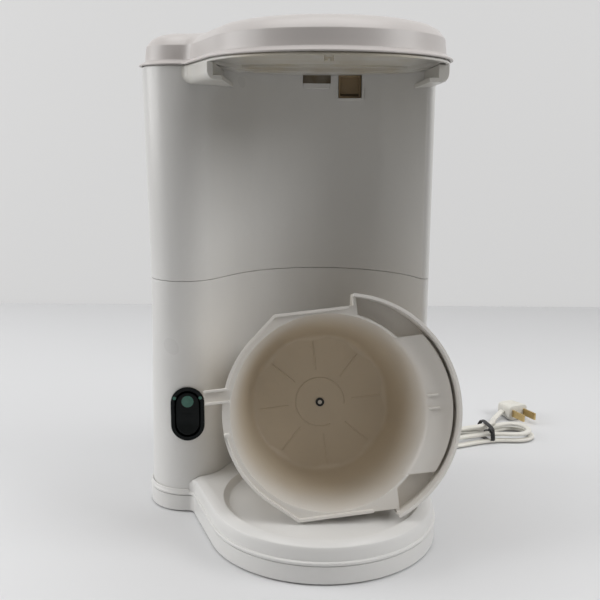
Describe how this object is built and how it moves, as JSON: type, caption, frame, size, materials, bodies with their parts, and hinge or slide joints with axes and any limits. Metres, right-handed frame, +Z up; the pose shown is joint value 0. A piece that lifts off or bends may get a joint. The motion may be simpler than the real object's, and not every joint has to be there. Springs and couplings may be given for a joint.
{
  "type": "iced tea maker",
  "caption": "Countertop iced tea maker: round pitcher plate before a tall tank and heater housing, hinged lid over basket rails, rocker switch, lifted-out brew basket and tied mains cord.",
  "frame": {"origin": "on the surface that the maker stands on, under the centre of its round pitcher plate", "axes": "+X to the right as seen from the front, +Y to the back, +Z up"},
  "size_m": [0.3268, 0.3202, 0.3268],
  "materials": {
    "white_plastic": "satin",
    "basket_plastic": "satin",
    "rubber": "matte",
    "screw_steel": "satin",
    "inner_plastic": "satin",
    "spout_plastic": "satin",
    "hose_rubber": "matte",
    "heater_aluminium": "satin",
    "heater_steel": "satin",
    "black_plastic": "gloss",
    "green_lens": "gloss",
    "brass": "satin",
    "wire_plastic": "matte",
    "cord_plastic": "satin",
    "tie_black": "matte",
    "seal_rubber": "matte"
  },
  "bodies": {
    "housing": {"base_pan": "white_plastic", "feet": "rubber", "pan_screws": "screw_steel", "base_cover": "white_plastic", "lower_housing": "white_plastic", "upper_housing": "white_plastic", "head_deck": "white_plastic", "deck_screws": "screw_steel", "lid_hinge_pins": "screw_steel", "riser_tube": "inner_plastic", "outlet_spout": "spout_plastic", "tank_grommet": "hose_rubber", "check_valve": "inner_plastic", "supply_hose": "hose_rubber", "delivery_hose": "hose_rubber", "hose_clamps": "screw_steel", "heater_tube": "heater_aluminium", "heater_element": "heater_steel", "heater_bracket": "heater_steel", "thermostat": "heater_steel", "thermal_fuse": "heater_steel", "switch_frame": "black_plastic", "switch_body": "black_plastic", "switch_terminals": "brass", "lead_wires": "wire_plastic", "strain_relief": "cord_plastic", "cord_lead": "cord_plastic", "cord_hank": "cord_plastic", "cord_tail": "cord_plastic", "cord_tie": "tie_black", "plug_body": "cord_plastic", "plug_blades": "brass"},
    "lid": {"lid": "white_plastic"},
    "rocker": {"switch_rocker": "black_plastic", "indicator_lens": "green_lens"},
    "basket": {"basket": "basket_plastic", "valve_spring": "heater_steel"},
    "drip_valve": {"valve_seal": "seal_rubber", "valve_stem": "inner_plastic"},
    "valve_ball": {"check_ball": "inner_plastic"}
  },
  "joints": [
    {"name": "lid_hinge", "type": "hinge", "parent": "housing", "child": "lid", "pos_m": [-0.024, 0.1374, 0.306], "axis": [-1, 0, 0], "range_deg": [0, 95]},
    {"name": "switch_press", "type": "hinge", "parent": "housing", "child": "rocker", "pos_m": [-0.09314, 0.03159, 0.0718], "axis": [0.9952, 0.0976, 0], "range_deg": [0, 9]},
    {"name": "basket_lift", "type": "slide", "parent": "housing", "child": "basket", "axis": [0, -0.866, 0.5], "range_m": [0, 0.22]},
    {"name": "valve_press", "type": "slide", "parent": "basket", "child": "drip_valve", "axis": [0.0543, -0.9721, 0.2284], "range_m": [0, 0.003], "stiffness_N_per_m": 200, "deforming": ["valve_spring"]},
    {"name": "ball_lift", "type": "slide", "parent": "housing", "child": "valve_ball", "axis": [0, 0, 1], "range_m": [0, 0.0025]}
  ]
}
